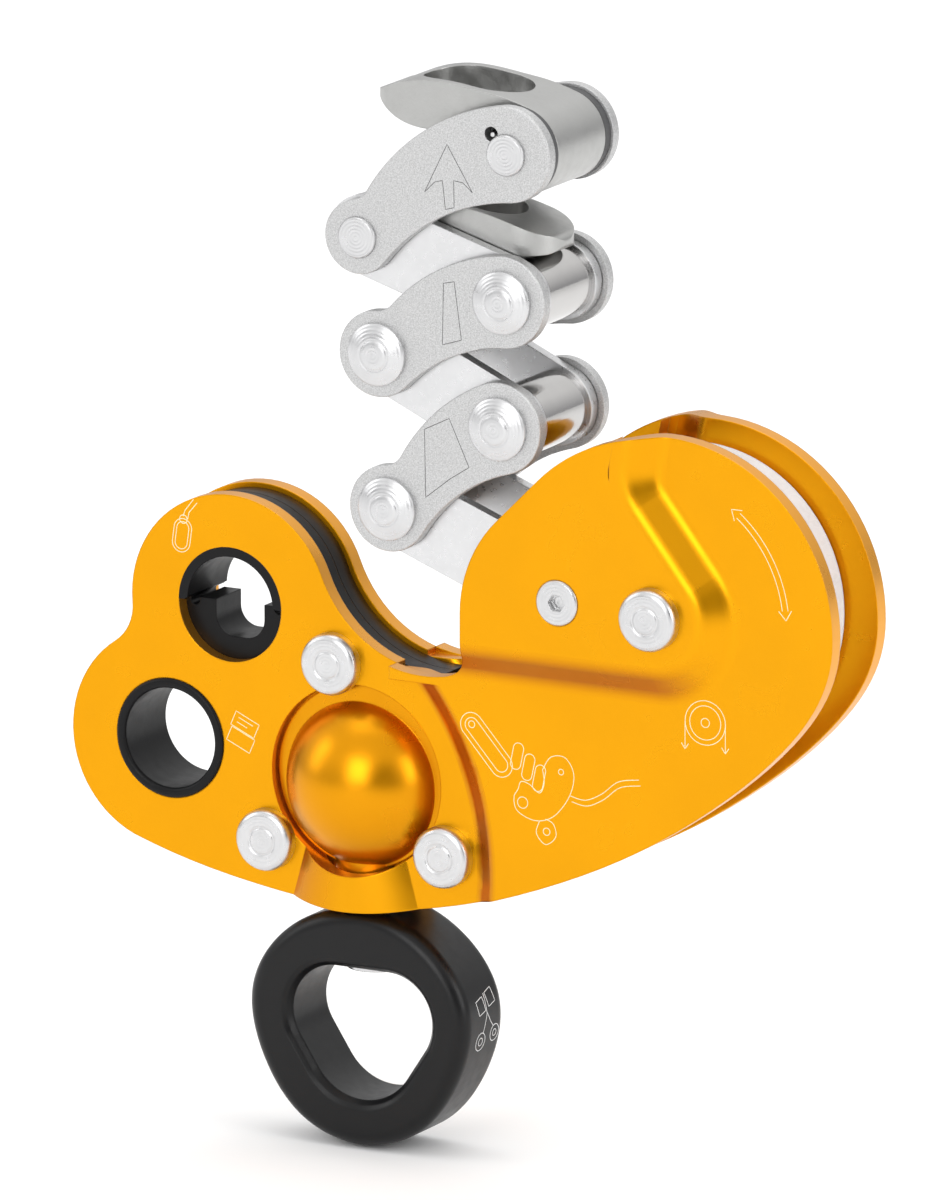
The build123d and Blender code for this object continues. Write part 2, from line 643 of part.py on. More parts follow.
def make_plates():
    plate = side_plate()
    keep("front_side_plate", plate)
    keep("rear_side_plate", mirror(plate, about=Plane.XY))


def make_frame():
    """Pieces fixed to the side plates."""
    half = spacer_half()
    keep("front_spacer", half)
    keep("rear_spacer", mirror(half, about=Plane.XY))
    keep("connector_bush", connector_bush())
    keep("slot_insert", slot_insert())
    head = thick_head(HEAD_RIVET_R, HEAD_RIVET_H)
    keep("frame_rivets", Compound([two_headed(at, RIVET_R, LEFT_FACE, head) for at in RIVETS]))
    keep("sheave_axle", two_headed(AXLE, AXLE_R, BOSS_FACE, head))
    spacer = tube(AXLE, 6.6, AXLE_R, RACE_HALF, BOSS_FACE - PLATE)
    keep("front_axle_spacer", spacer)
    keep("rear_axle_spacer", mirror(spacer, about=Plane.XY))
    keep("bearing_inner_ring", bearing_ring(RACE_R, AXLE_R, BALL_R + 0.05))
    screw = anchor_screw()
    keep("front_anchor_screw", screw)
    keep("rear_anchor_screw", mirror(screw, about=Plane.XY))


def make_swivel_casing():
    """The casing and what is fixed in it."""
    casing = swivel_housing()
    keep("front_swivel_housing", casing, upright=True)
    keep("rear_swivel_housing", mirror(casing, about=Plane.XZ), upright=True)
    keep("swivel_bush", sleeve(SWIVEL_BUSH_R, STEM_R + RUNNING, NECK_LOW, -12.0), upright=True)
    race = thrust_race(THRUST_LOW, THRUST_MID - 1.2, STEM_R + 0.5)
    keep("lower_thrust_race", race, upright=True)
    keep("neck_seal", sleeve(6.9, STEM_R + 0.2, NECK_LOW - 0.7, NECK_LOW), upright=True)


def make_swivel():
    """Everything that turns with the swivel eye, and the balls that roll under it."""
    keep("swivel_stem", swivel_stem(), upright=True)
    keep("upper_thrust_race", thrust_race(THRUST_MID + 1.2, NUT_LOW, STEM_R), upright=True)
    keep("stem_nut", stem_nut(), upright=True)
    keep("swivel_eye", swivel_eye())
    seat = Pos(SWIVEL_X, 0, THRUST_MID)
    balls = seat * Compound(ball_ring(THRUST_BALLS, THRUST_TRACK_R, THRUST_BALL_R))
    keep("thrust_balls", balls, upright=True)
    ring = cage(THRUST_BALLS, THRUST_TRACK_R, THRUST_BALL_R, 2.5, 0.5, 0)
    keep("thrust_cage", seat * ring, upright=True)


def make_sheave():
    """The sheave, its bearing's outer ring and shields, and the balls and cage between."""
    keep("sheave", sheave())
    keep("bearing_outer_ring", bearing_ring(HUB_R, OUTER_RACE_R, BALL_R + 0.05))
    shield = tube(AXLE, OUTER_RACE_R, RACE_R + 0.15, RACE_HALF - 0.7, RACE_HALF - 0.3)
    keep("front_bearing_shield", shield)
    keep("rear_bearing_shield", mirror(shield, about=Plane.XY))
    seat = Pos(AXLE[0], AXLE[1], 0)
    keep("bearing_balls", seat * Compound(ball_ring(BALLS, BALL_TRACK_R, BALL_R)))
    keep("bearing_cage", seat * cage(BALLS, BALL_TRACK_R, BALL_R, 0.7, 2.2, 90))


def make_inner_link(name, left, right, holes, bushes):
    """A pair of inner plates and the bushes between them."""
    plate = inner_plate(left, right, holes)
    keep("front_" + name + "_inner_plate", plate)
    keep("rear_" + name + "_inner_plate", mirror(plate, about=Plane.XY))
    for bush_name, bush in bushes:
        keep(bush_name, bush)


def make_outer_link(name, outline, holes, front_hole=None):
    """A pair of arched outer plates."""
    keep("rear_" + name + "_outer_plate", mirror(outer_plate(outline, holes), about=Plane.XY))
    if front_hole:
        holes = holes + [front_hole]
    keep("front_" + name + "_outer_plate", outer_plate(outline, holes))


def make_chain():
    """The folding chain from the anchor up to the release lever."""
    make_inner_link("lower", L3, ANCHOR, [(L3, SPIGOT_R), (ANCHOR, ANCHOR_R + RUNNING)],
                    [("lower_left_bush", link_bush(L3, BUSH_R, PIN_R))])
    make_inner_link("middle", L2, R3, [(L2, SPIGOT_R), (R3, SPIGOT_R)],
                    [("lower_right_bush", link_bush(R3, BUSH_R, PIN_R)),
                     ("middle_left_bush", link_bush(L2, BUSH_R, PIN_R))])
    make_inner_link("upper", L1, R2, [(L1, SPIGOT_R), (R2, SPIGOT_R)],
                    [("middle_right_bush", link_bush(R2, BUSH_R, PIN_R)),
                     ("tongue_sleeve", link_bush(L1, SPIGOT_R, TOP_PIN_R))])
    for name, left, right in (("lower", L3, R3), ("middle", L2, R2)):
        outline = arched_outline(left, right, OUTER_LEFT_R, OUTER_RIGHT_R, 80, 34.0, 30.0)
        make_outer_link(name, outline, [(left, PIN_R), (right, PIN_R)])
        for side, at in (("left", left), ("right", right)):
            rivet = two_headed(at, PIN_R, OUTER_HIGH, button_head(HEAD_RIVET_R, LINK_HEAD_H))
            keep(name + "_" + side + "_rivet", rivet)
    outline = arched_outline(L1, R1, TOP_LEFT_R, TOP_RIGHT_R, 85, 37.0, 35.0)
    make_outer_link("upper", outline, [(L1, TOP_PIN_R), (R1, TOP_PIN_R)], (SPRING_HOLE, SPRING_HOLE_R))
    keep("tongue_pin", flat_pin(L1))
    keep("lever_pin", flat_pin(R1))


def make_lever():
    """The release lever, its spring and washers, and the cam tongue under it."""
    keep("cam_tongue", cam_tongue())
    keep("release_lever", release_lever())
    keep("lever_spring", lever_spring())
    washer = tube(R1, LEVER_HUB_R, 5.2, LEVER_HALF + 0.1, OUTER_LOW - 0.05)
    keep("front_lever_washer", washer)
    keep("rear_lever_washer", mirror(washer, about=Plane.XY))


make_plates()
make_frame()
make_swivel_casing()
make_swivel()
make_sheave()
make_chain()
make_lever()

os.makedirs("parts", exist_ok=True)
for node, shape in PARTS.items():
    export_step(shape, f"parts/{node}.step")
    print(node, round(shape.volume, 1), len(shape.solids()))
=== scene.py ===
"""Looks of the rope pulley: finishes, line marks, floor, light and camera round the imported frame."""
import math

import bpy
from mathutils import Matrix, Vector
from mathutils.bvhtree import BVHTree

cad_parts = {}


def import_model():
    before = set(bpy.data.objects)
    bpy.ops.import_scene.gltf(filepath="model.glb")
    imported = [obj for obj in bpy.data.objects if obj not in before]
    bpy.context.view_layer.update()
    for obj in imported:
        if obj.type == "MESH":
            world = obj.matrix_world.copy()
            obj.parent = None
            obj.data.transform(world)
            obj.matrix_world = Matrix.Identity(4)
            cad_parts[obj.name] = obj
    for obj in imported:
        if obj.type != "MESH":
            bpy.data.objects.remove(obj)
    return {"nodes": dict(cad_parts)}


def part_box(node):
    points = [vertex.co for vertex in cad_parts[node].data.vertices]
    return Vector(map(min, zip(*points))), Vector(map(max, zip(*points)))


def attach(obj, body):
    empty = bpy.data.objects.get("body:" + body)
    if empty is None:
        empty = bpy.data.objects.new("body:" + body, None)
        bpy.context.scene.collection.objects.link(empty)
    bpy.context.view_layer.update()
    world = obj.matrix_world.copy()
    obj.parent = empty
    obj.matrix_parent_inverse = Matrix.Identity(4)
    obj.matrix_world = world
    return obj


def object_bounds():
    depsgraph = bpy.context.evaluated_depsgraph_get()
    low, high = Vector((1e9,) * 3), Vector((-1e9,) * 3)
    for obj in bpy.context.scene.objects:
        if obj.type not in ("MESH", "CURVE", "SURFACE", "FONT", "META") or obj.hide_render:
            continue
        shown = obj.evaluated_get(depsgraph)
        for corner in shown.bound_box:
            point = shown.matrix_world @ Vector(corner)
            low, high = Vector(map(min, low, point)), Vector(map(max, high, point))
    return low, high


MM = 0.001

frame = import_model()
CAD_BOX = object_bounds()
NODES = frame["nodes"]


# ---- places read from the frame ----------------------------------------------------------------
def centre(node):
    low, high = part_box(node)
    return (low + high) / 2


HOLE = centre("connector_bush")
UPPER_HOLE = centre("slot_insert")
AXLE = centre("sheave_axle")
LEVER_PIN = centre("lever_pin")
TONGUE_PIN = centre("tongue_pin")


# ---- node materials ----------------------------------------------------------------------------
PAINTED_SHADE_FACING = (-0.72, 0, -0.70)    # the way that the ramps with painted shade face
BEVEL_SAMPLES = 6


class Paint:
    """Builds one node material around a Principled shader."""

    def __init__(self, name, colour, rough, metal=0.0):
        self.material = bpy.data.materials.new(name)
        self.material.use_nodes = True
        self.tree = self.material.node_tree
        self.shader = self.tree.nodes["Principled BSDF"]
        self.shader.inputs["Metallic"].default_value = metal
        self.shader.inputs["Roughness"].default_value = rough
        self.shader.inputs["Base Color"].default_value = (*colour, 1)
        self.normal = None
        self.coords = self.node("ShaderNodeTexCoord").outputs["Object"]

    def node(self, kind, **settings):
        made = self.tree.nodes.new(kind)
        for key, value in settings.items():
            setattr(made, key, value)
        return made

    def link(self, source, target):
        self.tree.links.new(source, target)

    def math(self, operation, a, b=0.0):
        """A maths node; each input is a number or a socket."""
        made = self.node("ShaderNodeMath", operation=operation)
        for socket, value in zip(made.inputs, (a, b)):
            if isinstance(value, (int, float)):
                socket.default_value = value
            else:
                self.link(value, socket)
        return made.outputs[0]

    def noise(self, scale, detail=2.0):
        """Noise with about this many grains to the metre."""
        made = self.node("ShaderNodeTexNoise")
        made.inputs["Scale"].default_value = scale
        made.inputs["Detail"].default_value = detail
        self.link(self.coords, made.inputs["Vector"])
        return made.outputs["Fac"]

    def remap(self, source, low, high, low_in=0.3, high_in=0.7):
        """Maps a value from the range low_in to high_in onto the range low to high, clamped."""
        made = self.node("ShaderNodeMapRange")
        made.inputs["From Min"].default_value = low_in
        made.inputs["From Max"].default_value = high_in
        made.inputs["To Min"].default_value = low
        made.inputs["To Max"].default_value = high
        self.link(source, made.inputs["Value"])
        return made.outputs[0]

    def tint(self, colour, amount, scale):
        """Slow colour variation about the base colour."""
        made = self.node("ShaderNodeMix", data_type="RGBA")
        made.inputs["A"].default_value = (*[c * (1 - amount) for c in colour], 1)
        made.inputs["B"].default_value = (*[min(1.0, c * (1 + amount)) for c in colour], 1)
        self.link(self.noise(scale, 3.0), made.inputs["Factor"])
        self.link(made.outputs["Result"], self.shader.inputs["Base Color"])

    def painted_ramp_shade_and_edge_highlight(self, painted_shade_colour, edge):
        """Painted shade: a deeper colour on ramps that face left and down, set by a fixed direction in
        the object; and a painted highlight: a paler colour on walls cut square.
        """
        normal = self.node("ShaderNodeTexCoord").outputs["Normal"]
        lean = self.node("ShaderNodeVectorMath", operation="DOT_PRODUCT")
        self.link(normal, lean.inputs[0])
        lean.inputs[1].default_value = PAINTED_SHADE_FACING
        split = self.node("ShaderNodeSeparateXYZ")
        self.link(normal, split.inputs[0])
        facing = self.math("ABSOLUTE", split.outputs["Y"])
        ramp = self.remap(lean.outputs["Value"], 0.0, 0.8, 0.0, 0.62)
        flat_enough = self.remap(facing, 0.0, 1.0, 0.15, 0.75)
        # painted shade on the ramps that face left and down
        colour = self.blend(self.shader.inputs["Base Color"].links[0].from_socket, painted_shade_colour,
                            self.math("MULTIPLY", ramp, flat_enough))
        # painted highlight on the walls cut square
        colour = self.blend(colour, edge, self.remap(facing, 0.35, 0.0, 0.05, 0.45))
        self.link(colour, self.shader.inputs["Base Color"])

    def blend(self, source, colour, factor):
        """Mixes a fixed colour over a colour socket."""
        made = self.node("ShaderNodeMix", data_type="RGBA")
        self.link(source, made.inputs["A"])
        made.inputs["B"].default_value = (*colour, 1)
        self.link(factor, made.inputs["Factor"])
        return made.outputs["Result"]

    def roughness(self, scale, low, high):
        """Roughness that wanders between two values."""
        self.link(self.remap(self.noise(scale, 3.0), low, high), self.shader.inputs["Roughness"])

    def bump(self, height, distance):
        """Fine relief on top of whatever relief there is already."""
        made = self.node("ShaderNodeBump")
        made.inputs["Distance"].default_value = distance
        made.inputs["Strength"].default_value = 1.0
        self.link(height, made.inputs["Height"])
        if self.normal is not None:
            self.link(self.normal, made.inputs["Normal"])
        self.normal = made.outputs[0]
        self.link(self.normal, self.shader.inputs["Normal"])

    def soft_edges(self, radius):
        """Rounds the shading of sharp edges."""
        made = self.node("ShaderNodeBevel", samples=BEVEL_SAMPLES)
        made.inputs["Radius"].default_value = radius
        self.normal = made.outputs[0]
        self.link(self.normal, self.shader.inputs["Normal"])

    def ring_height(self, centres):
        """Distance from the nearest of several axes that run along Y."""
        nearest = None
        for at in centres:
            shifted = self.node("ShaderNodeVectorMath", operation="SUBTRACT")
            self.link(self.coords, shifted.inputs[0])
            shifted.inputs[1].default_value = (at.x, 0, at.z)
            flat = self.node("ShaderNodeVectorMath", operation="MULTIPLY")
            self.link(shifted.outputs[0], flat.inputs[0])
            flat.inputs[1].default_value = (1, 0, 1)
            length = self.node("ShaderNodeVectorMath", operation="LENGTH")
            self.link(flat.outputs[0], length.inputs[0])
            far = length.outputs["Value"]
            nearest = far if nearest is None else self.math("MINIMUM", nearest, far)
        return nearest

    def rings(self, centres, pitch, depth):
        """Fine turned rings about axes along Y."""
        radius = self.ring_height(centres)
        wave = self.math("SINE", self.math("MULTIPLY", radius, 2 * math.pi / pitch))
        self.bump(wave, depth)


def anodised(name, colour, painted_shade_and_highlight=False):
    """Satin dye. With the flag set, the pressed ramps get painted shade and the cut edges a painted
    highlight.
    """
    paint = Paint(name, colour, 0.3, metal=0.85)
    paint.soft_edges(0.35 * MM)
    paint.tint(colour, 0.05, scale=45.0)
    if painted_shade_and_highlight:
        paint.painted_ramp_shade_and_edge_highlight(PAINTED_SHADE, PAINTED_EDGE_HIGHLIGHT)
    paint.roughness(120.0, 0.26, 0.33)
    paint.bump(paint.noise(2600.0, 2.0), 0.001 * MM)
    return paint.material


def blasted(name, colour):
    """Metal with the fine dark and light grain of grit blasting."""
    paint = Paint(name, colour, 0.5, metal=1.0)
    paint.soft_edges(0.25 * MM)
    grain = paint.noise(4200.0, 3.0)
    mix = paint.node("ShaderNodeMix", data_type="RGBA")
    mix.inputs["A"].default_value = (*[c * 0.78 for c in colour], 1)
    mix.inputs["B"].default_value = (*[min(1, c * 1.15) for c in colour], 1)
    paint.link(paint.remap(grain, 0.0, 1.0, 0.32, 0.66), mix.inputs["Factor"])
    paint.link(mix.outputs["Result"], paint.shader.inputs["Base Color"])
    paint.link(paint.remap(paint.noise(1500.0), 0.42, 0.6), paint.shader.inputs["Roughness"])
    paint.bump(grain, 0.02 * MM)
    return paint.material


def satin(name, colour, rough, grain=900.0, depth=0.006):
    """Smooth metal; the depth of its grain is in millimetres."""
    paint = Paint(name, colour, rough, metal=1.0)
    paint.soft_edges(0.25 * MM)
    paint.tint(colour, 0.08, scale=150.0)
    paint.roughness(grain, rough * 0.85, rough * 1.2)
    paint.bump(paint.noise(grain * 3), depth * MM)
    return paint.material


def turned(name, colour, centres):
    """Metal with the fine rings of a lathe about one or more axes."""
    paint = Paint(name, colour, 0.3, metal=1.0)
    paint.soft_edges(0.3 * MM)
    paint.tint(colour, 0.07, scale=260.0)
    paint.roughness(700.0, 0.24, 0.39)
    paint.rings(centres, 0.62 * MM, 0.009 * MM)
    paint.bump(paint.noise(2400.0), 0.002 * MM)
    return paint.material


def plastic(name, colour, rough, grain=2600.0, depth=0.01, edge=0.3, shine=0.5):
    """Moulded or painted surface; depth and edge are in millimetres."""
    paint = Paint(name, colour, rough)
    paint.shader.inputs["Specular IOR Level"].default_value = shine
    paint.soft_edges(edge * MM)
    paint.tint(colour, 0.12, scale=180.0)
    paint.roughness(500.0, rough * 0.88, rough * 1.12)
    paint.bump(paint.noise(grain, 3.0), depth * MM)
    return paint.material


ORANGE = (0.78, 0.335, 0.0)
BALL_ORANGE = (0.72, 0.29, 0.0)
PAINTED_SHADE = (0.36, 0.055, 0.003)          # painted shade on the ramps
PAINTED_EDGE_HIGHLIGHT = (0.80, 0.38, 0.10)            # painted highlight on the cut edges


def give(material, *names):
    """Puts one material on every named node."""
    for name in names:
        mesh = NODES[name].data
        mesh.materials.clear()
        mesh.materials.append(material)


def sides(name):
    """The front and the rear node of a pair."""
    return ["front_" + name, "rear_" + name]


# the side plates get painted shade on their ramps and a painted highlight on their cut edges
give(anodised("anodised_orange", ORANGE, painted_shade_and_highlight=True), *sides("side_plate"))
give(anodised("anodised_ball", BALL_ORANGE), *sides("swivel_housing"))
black = plastic("black_plastic", (0.005, 0.005, 0.0055), 0.36, shine=0.18)
give(black, *sides("spacer"), "connector_bush", "slot_insert")
give(plastic("washer_plastic", (0.06, 0.06, 0.062), 0.5), *sides("lever_washer"))
give(plastic("black_anodised", (0.003, 0.003, 0.0035), 0.34, depth=0.004, edge=0.6, shine=0.3),
     "swivel_eye")
give(blasted("blasted_steel", (0.56, 0.56, 0.56)),
     *sides("lower_outer_plate"), *sides("middle_outer_plate"), *sides("upper_outer_plate"))
give(satin("satin_steel", (0.66, 0.66, 0.665), 0.3, depth=0.003),
     *sides("lower_inner_plate"), *sides("middle_inner_plate"), *sides("upper_inner_plate"),
     "tongue_sleeve", *sides("axle_spacer"), "lever_spring")
give(satin("polished_steel", (0.54, 0.53, 0.52), 0.12, grain=400.0),
     "lower_left_bush", "lower_right_bush", "middle_left_bush", "middle_right_bush",
     "bearing_inner_ring", "bearing_outer_ring", "bearing_balls", "upper_thrust_race",
     "lower_thrust_race", "thrust_balls")
give(satin("cast_steel", (0.45, 0.45, 0.44), 0.34, grain=700.0, depth=0.03),
     "cam_tongue", "release_lever")
give(plastic("white_polymer", (0.86, 0.86, 0.87), 0.28, grain=900.0), "sheave")
give(satin("bronze", (0.6, 0.42, 0.2), 0.35), "swivel_bush")
give(plastic("seal_rubber", (0.02, 0.02, 0.02), 0.6), "neck_seal", *sides("bearing_shield"))
give(plastic("cage_plastic", (0.25, 0.18, 0.1), 0.5), "bearing_cage", "thrust_cage")
give(satin("stem_steel", (0.60, 0.60, 0.61), 0.25), "swivel_stem", "stem_nut")


RIVET_REACH = 12 * MM                # wider than a rivet's head, and less than the space between two


def rivet_centres():
    """The axes of the three rivets in one node, from the clusters of their vertices."""
    points = [v.co for v in NODES["frame_rivets"].data.vertices]
    groups = []
    for p in points:
        for group in groups:
            if math.hypot(p.x - group[0].x, p.z - group[0].z) < RIVET_REACH:
                group.append(p)
                break
        else:
            groups.append([p])
    found = []
    for group in groups:
        xs = [p.x for p in group]
        zs = [p.z for p in group]
        found.append(Vector(((min(xs) + max(xs)) / 2, 0, (min(zs) + max(zs)) / 2)))
    return found


give(turned("frame_rivet_steel", (0.64, 0.64, 0.645), rivet_centres()), "frame_rivets")
for pin in ("sheave_axle", "front_anchor_screw", "rear_anchor_screw", "lower_left_rivet",
            "lower_right_rivet", "middle_left_rivet", "middle_right_rivet", "tongue_pin",
            "lever_pin"):
    give(turned(pin + "_steel", (0.62, 0.62, 0.625), [centre(pin)]), pin)


# ---- line marks --------------------------------------------------------------------------------
# Strokes are lists of (across, up) points in millimetres from the place that draw_mark() is given.
SUNK = 0.3                           # share of a ribbon's width that its middle lies under the face
THIN = 0.20                          # ribbon widths in millimetres
FINE = 0.17
START = 0.1                          # how far outside the object a ray starts, in metres
SAME_POINT = 1e-6


def at_angle(degrees, radius):
    """The point at an angle and a distance from the middle."""
    angle = math.radians(degrees)
    return (radius * math.cos(angle), radius * math.sin(angle))


def arc(cx, cz, radius, start, end, steps=24):
    """Points along a circular arc from one angle to another."""
    found = [at_angle(start + (end - start) * i / steps, radius) for i in range(steps + 1)]
    return [(cx + x, cz + z) for x, z in found]


def ring(cx, cz, radius, steps=32):
    """A closed circle."""
    return arc(cx, cz, radius, 0, 360, steps)


def turned_by(points, angle, shift):
    """Points turned about the origin and then moved."""
    c = math.cos(math.radians(angle))
    s = math.sin(math.radians(angle))
    return [(x * c - z * s + shift[0], x * s + z * c + shift[1]) for x, z in points]


def stadium(length, radius):
    """A closed outline with two round ends along Z."""
    half = length / 2 - radius
    return arc(0, half, radius, 0, 180) + arc(0, -half, radius, 180, 360) + [(radius, half)]


def smooth(points, steps=8):
    """A smooth line through a few points."""
    ends = [points[0], *points, points[-1]]
    line = []
    for a, b, c, d in zip(ends, ends[1:], ends[2:], ends[3:]):
        for i in range(steps):
            t = i / steps
            weights = ((-t + 2 * t * t - t ** 3) / 2, (2 - 5 * t * t + 3 * t ** 3) / 2,
                       (t + 4 * t * t - 3 * t ** 3) / 2, (t ** 3 - t * t) / 2)
            line.append(tuple(sum(w * p[k] for w, p in zip(weights, (a, b, c, d))) for k in (0, 1)))
    return line + [points[-1]]


def divided(stroke, longest=0.5):
    """The same stroke with points near enough together to follow a curved face."""
    line = []
    for a, b in zip(stroke, stroke[1:]):
        count = max(1, math.ceil(math.dist(a, b) / longest))
        line += [(a[0] + (b[0] - a[0]) * i / count, a[1] + (b[1] - a[1]) * i / count)
                 for i in range(count)]
    return line + [stroke[-1]]


def tree_of(node):
    """A search tree of a node's mesh, for the rays that land the strokes."""
    mesh = NODES[node].data
    return BVHTree.FromPolygons([v.co for v in mesh.vertices], [p.vertices for p in mesh.polygons])


def landed(tree, stroke, base, side):
    """A stroke dropped onto a node: from the front, or onto its right side."""
    way = Vector((-1, 0, 0)) if side else Vector((0, 1, 0))
    along = Vector((0, 1, 0)) if side else Vector((1, 0, 0))
    found = []
    for u, z in divided(stroke):
        start = base + along * u * MM + Vector((0, 0, z * MM)) - way * START
        hit = tree.ray_cast(start, way)[0]
        if hit is not None:
            found.append(hit)
    return found


def draw_mark(name, node, strokes, base, body, width, material, side=False):
    """A mark made of thin round ribbons, each mostly sunk into the face of a node."""
    tree = tree_of(node)
    curve = bpy.data.curves.new(name, "CURVE")
    curve.dimensions = "3D"
    curve.bevel_depth = width / 2 * MM
    curve.bevel_resolution = 1
    for stroke in strokes:
        closed = math.dist(stroke[0], stroke[-1]) < SAME_POINT
        points = landed(tree, stroke, base, side)
        if closed:
            points.pop()
        spline = curve.splines.new("POLY")
        spline.points.add(len(points) - 1)
        for target, at in zip(spline.points, points):
            target.co = (*at, 1)
        spline.use_cyclic_u = closed
    holder = bpy.data.objects.new(name + "_curve", curve)
    mesh = bpy.data.meshes.new_from_object(holder)
    bpy.data.objects.remove(holder)
    sink = Vector((-1, 0, 0)) if side else Vector((0, 1, 0))
    for vertex in mesh.vertices:
        vertex.co += sink * width * SUNK * MM
    mesh.name = name
    mesh.materials.clear()
    mesh.materials.append(material)
    made = bpy.data.objects.new(name, mesh)
    bpy.context.scene.collection.objects.link(made)
    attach(made, body)


def loop_pictogram():
    """A plain oval loop on a cord, above the upper hole."""
    at = (-9.5, 11.3)
    strokes = [turned_by(stadium(6.0, 1.75), -8, at), turned_by(stadium(4.9, 1.2), -8, at),
               turned_by([(-0.5, 3.4), (-0.3, 4.6), (0.9, 7.0)], -12, at),
               turned_by([(0.5, 3.2), (0.5, 4.4), (1.7, 6.6)], -12, at),
               ring(at[0] + 0.3, at[1] + 2.9, 0.75)]
    draw_mark("loop_mark", "front_side_plate", strokes, UPPER_HOLE, "frame", THIN, pale)


def leaflet_pictogram():
    """A blank two-page leaflet between the lower hole and the window."""
    page = [(-2.5, 0.2), (2.5, 0.2), (2.5, 2.9), (-2.5, 2.9), (-2.5, 0.2)]
    low = [(x + 0.35, z - 2.9) for x, z in page]
    rules = [[(-1.6, 2.1), (1.5, 2.1)], [(-1.6, 1.2), (0.6, 1.2)]]
    strokes = [turned_by(stroke, -24, (14.3, 2.7)) for stroke in (page, low, *rules)]
    draw_mark("leaflet_mark", "front_side_plate", strokes, HOLE, "frame", THIN, pale)


def use_diagram():
    """A line drawing of the rope's way: sling, three links, round body, rope and ring."""
    slings = [turned_by(stadium(length, radius), 42, (-34.0, -26.9))
              for length, radius in ((13.0, 2.2), (11.2, 1.3))]
    links = [turned_by(stadium(4.8, 1.0), -12, at)
             for at in ((-28.0, -28.2), (-25.8, -29.9), (-23.7, -31.6))]
    body = smooth([(-23.0, -30.0), (-21.4, -27.6), (-18.6, -27.4), (-16.9, -30.2), (-17.8, -34.2),
                   (-20.8, -38.0), (-24.4, -39.2), (-27.9, -37.9), (-28.6, -35.6), (-27.8, -34.0),
                   (-27.2, -32.6), (-25.6, -32.9), (-23.6, -34.2), (-22.7, -32.4), (-23.0, -30.0)])
    rope = [(-17.6, -34.0), (-14.6, -34.4), (-11.4, -32.9), (-8.2, -30.4), (-4.2, -29.6)]
    far_rope = [(x + 0.3, z - 1.0) for x, z in rope]
    eye = smooth([(-23.6, -39.2), (-24.2, -41.4), (-22.4, -43.2), (-20.4, -41.6), (-20.9, -39.4),
                  (-22.4, -38.7)])
    strokes = [*slings, ring(-36.9, -23.6, 0.6), *links, body, ring(-19.4, -30.0, 0.5),
               ring(-26.9, -36.3, 1.0), smooth(rope), smooth(far_rope), eye,
               ring(-22.2, -40.9, 0.65)]
    draw_mark("use_mark", "front_side_plate", strokes, AXLE, "frame", THIN, pale)


def wheel_pictogram():
    """Two plain marks by the rim: a wheel with a rope over it, and a turning arrow."""
    wheel = [ring(8.6, -18.0, radius) for radius in (3.9, 3.0, 0.8)]
    for x in (4.7, 12.5):
        wheel += [[(x, -18.0), (x, -23.0)], [(x - 0.7, -22.0), (x, -23.0), (x + 0.7, -22.0)]]
    low, high = 8, 52                # the ends of the turning arrow, in degrees
    turning = [arc(0, 0, radius, high, low, 30) for radius in (23.6, 24.7)]
    for end, point in ((low, low - 4), (high, high + 4)):
        turning.append([at_angle(end, 22.9), at_angle(point, 24.15), at_angle(end, 25.4)])
    draw_mark("wheel_mark", "front_side_plate", wheel, AXLE, "frame", THIN, pale)
    draw_mark("turning_mark", "front_side_plate", turning, AXLE, "frame", THIN, pale)


def link_marks():
    """Thin outlines on the outer links: an arrow on the top one, tapered bars below it."""
    arrow = [(2.7, -2.0), (2.1, 3.0), (0.6, 2.6), (-1.4, 0.6), (3.0, 9.4), (8.0, 1.4),
             (6.1, 3.0), (4.3, 3.2), (4.4, -1.5), (2.7, -2.0)]
    place = (LEVER_PIN + TONGUE_PIN) / 2
    draw_mark("arrow_mark", "front_upper_outer_plate", [arrow], place, "upper_outer_link", FINE, dark)
    narrow = [(0.7, 8.0), (2.8, 8.5), (4.2, -1.6), (0.5, -2.8), (0.7, 8.0)]
    broad = [(-3.6, 6.6), (1.2, 9.0), (5.1, 0.8), (1.4, -1.6), (-3.4, -5.4), (-3.6, 6.6)]
    for level, bar in (("middle", narrow), ("lower", broad)):
        place = (centre(level + "_left_rivet") + centre(level + "_right_rivet")) / 2
        draw_mark(level + "_bar_mark", "front_" + level + "_outer_plate", [bar], place,
                level + "_outer_link", FINE, dark)


def eye_pictogram():
    """Two rings hung on cords from a pair of tags, on the right side of the eye."""
    tag = [(-1.2, -1.3), (1.2, -1.3), (1.2, 1.3), (-1.2, 1.3), (-1.2, -1.3)]
    strokes = [turned_by(tag, 14, (-2.1, 2.6)), turned_by(tag, 14, (1.4, 3.6)),
               ring(-2.2, -3.7, 1.6), ring(-2.2, -3.7, 0.7), ring(2.6, -3.0, 1.5), ring(2.6, -3.0, 0.6),
               [(-0.5, 4.6), (-0.3, 1.0), (-1.6, -2.2)], [(-0.2, 1.2), (0.9, -0.6), (2.0, -1.7)]]
    middle = centre("swivel_eye") + Vector((0, 1.0 * MM, 2.7 * MM))
    draw_mark("eye_mark", "swivel_eye", strokes, middle, "swivel", THIN, eye_pale, side=True)


pale = plastic("laser_pale", (1.0, 0.80, 0.52), 0.55, edge=0.02)
eye_pale = plastic("laser_grey", (0.80, 0.80, 0.80), 0.5, edge=0.02)
dark = plastic("laser_dark", (0.05, 0.05, 0.05), 0.6, edge=0.02)
loop_pictogram()
leaflet_pictogram()
use_diagram()
wheel_pictogram()
link_marks()
eye_pictogram()


# ---- floor, light and camera -------------------------------------------------------------------
MIDDLE = (CAD_BOX[0] + CAD_BOX[1]) / 2
FLOOR_GAP = 0.5 * MM                 # between the floor and the lowest point of the object
FLOOR_RADIUS = 14.0                  # metres
FLOOR_CORNERS = 64
